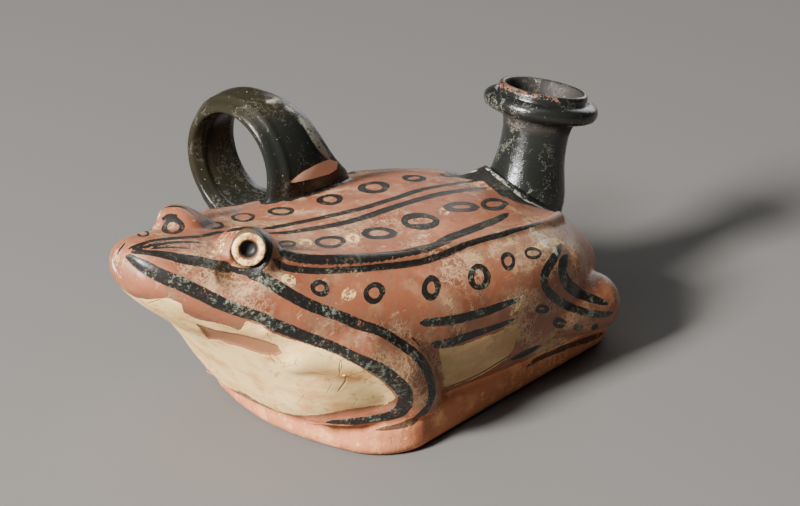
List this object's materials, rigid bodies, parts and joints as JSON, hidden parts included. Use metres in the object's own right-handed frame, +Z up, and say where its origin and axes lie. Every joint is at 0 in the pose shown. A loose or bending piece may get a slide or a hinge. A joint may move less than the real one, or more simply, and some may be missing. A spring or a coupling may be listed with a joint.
{
  "type": "frog-shaped askos",
  "caption": "Small pottery oil flask shaped as a crouching frog on a low plinth, with a ring handle on its side and a flared pouring spout over the rump.",
  "frame": {"origin": "middle of the flat underside of the plinth", "axes": "+Z up; the snout points along -X and the tail along +X; the handle is on the +Y side"},
  "size_m": [0.1212, 0.0705, 0.0565],
  "materials": {
    "bare_terracotta": "matte, scuffed",
    "painted_terracotta": "burnished with dark painted stripes",
    "cream_slip": "matte slip, flaked",
    "eye_slip": "matte slip with a dark drilled pupil",
    "black_gloss": "glossy, worn at the edges"
  },
  "bodies": {
    "root": {"base_plinth": "bare_terracotta", "lower_body": "cream_slip", "upper_body": "painted_terracotta", "left_foreleg": "painted_terracotta", "right_foreleg": "painted_terracotta", "left_hind_leg": "painted_terracotta", "right_hind_leg": "painted_terracotta", "left_eye": "eye_slip", "right_eye": "eye_slip", "spout": "black_gloss", "handle": "black_gloss"}
  },
  "joints": []
}
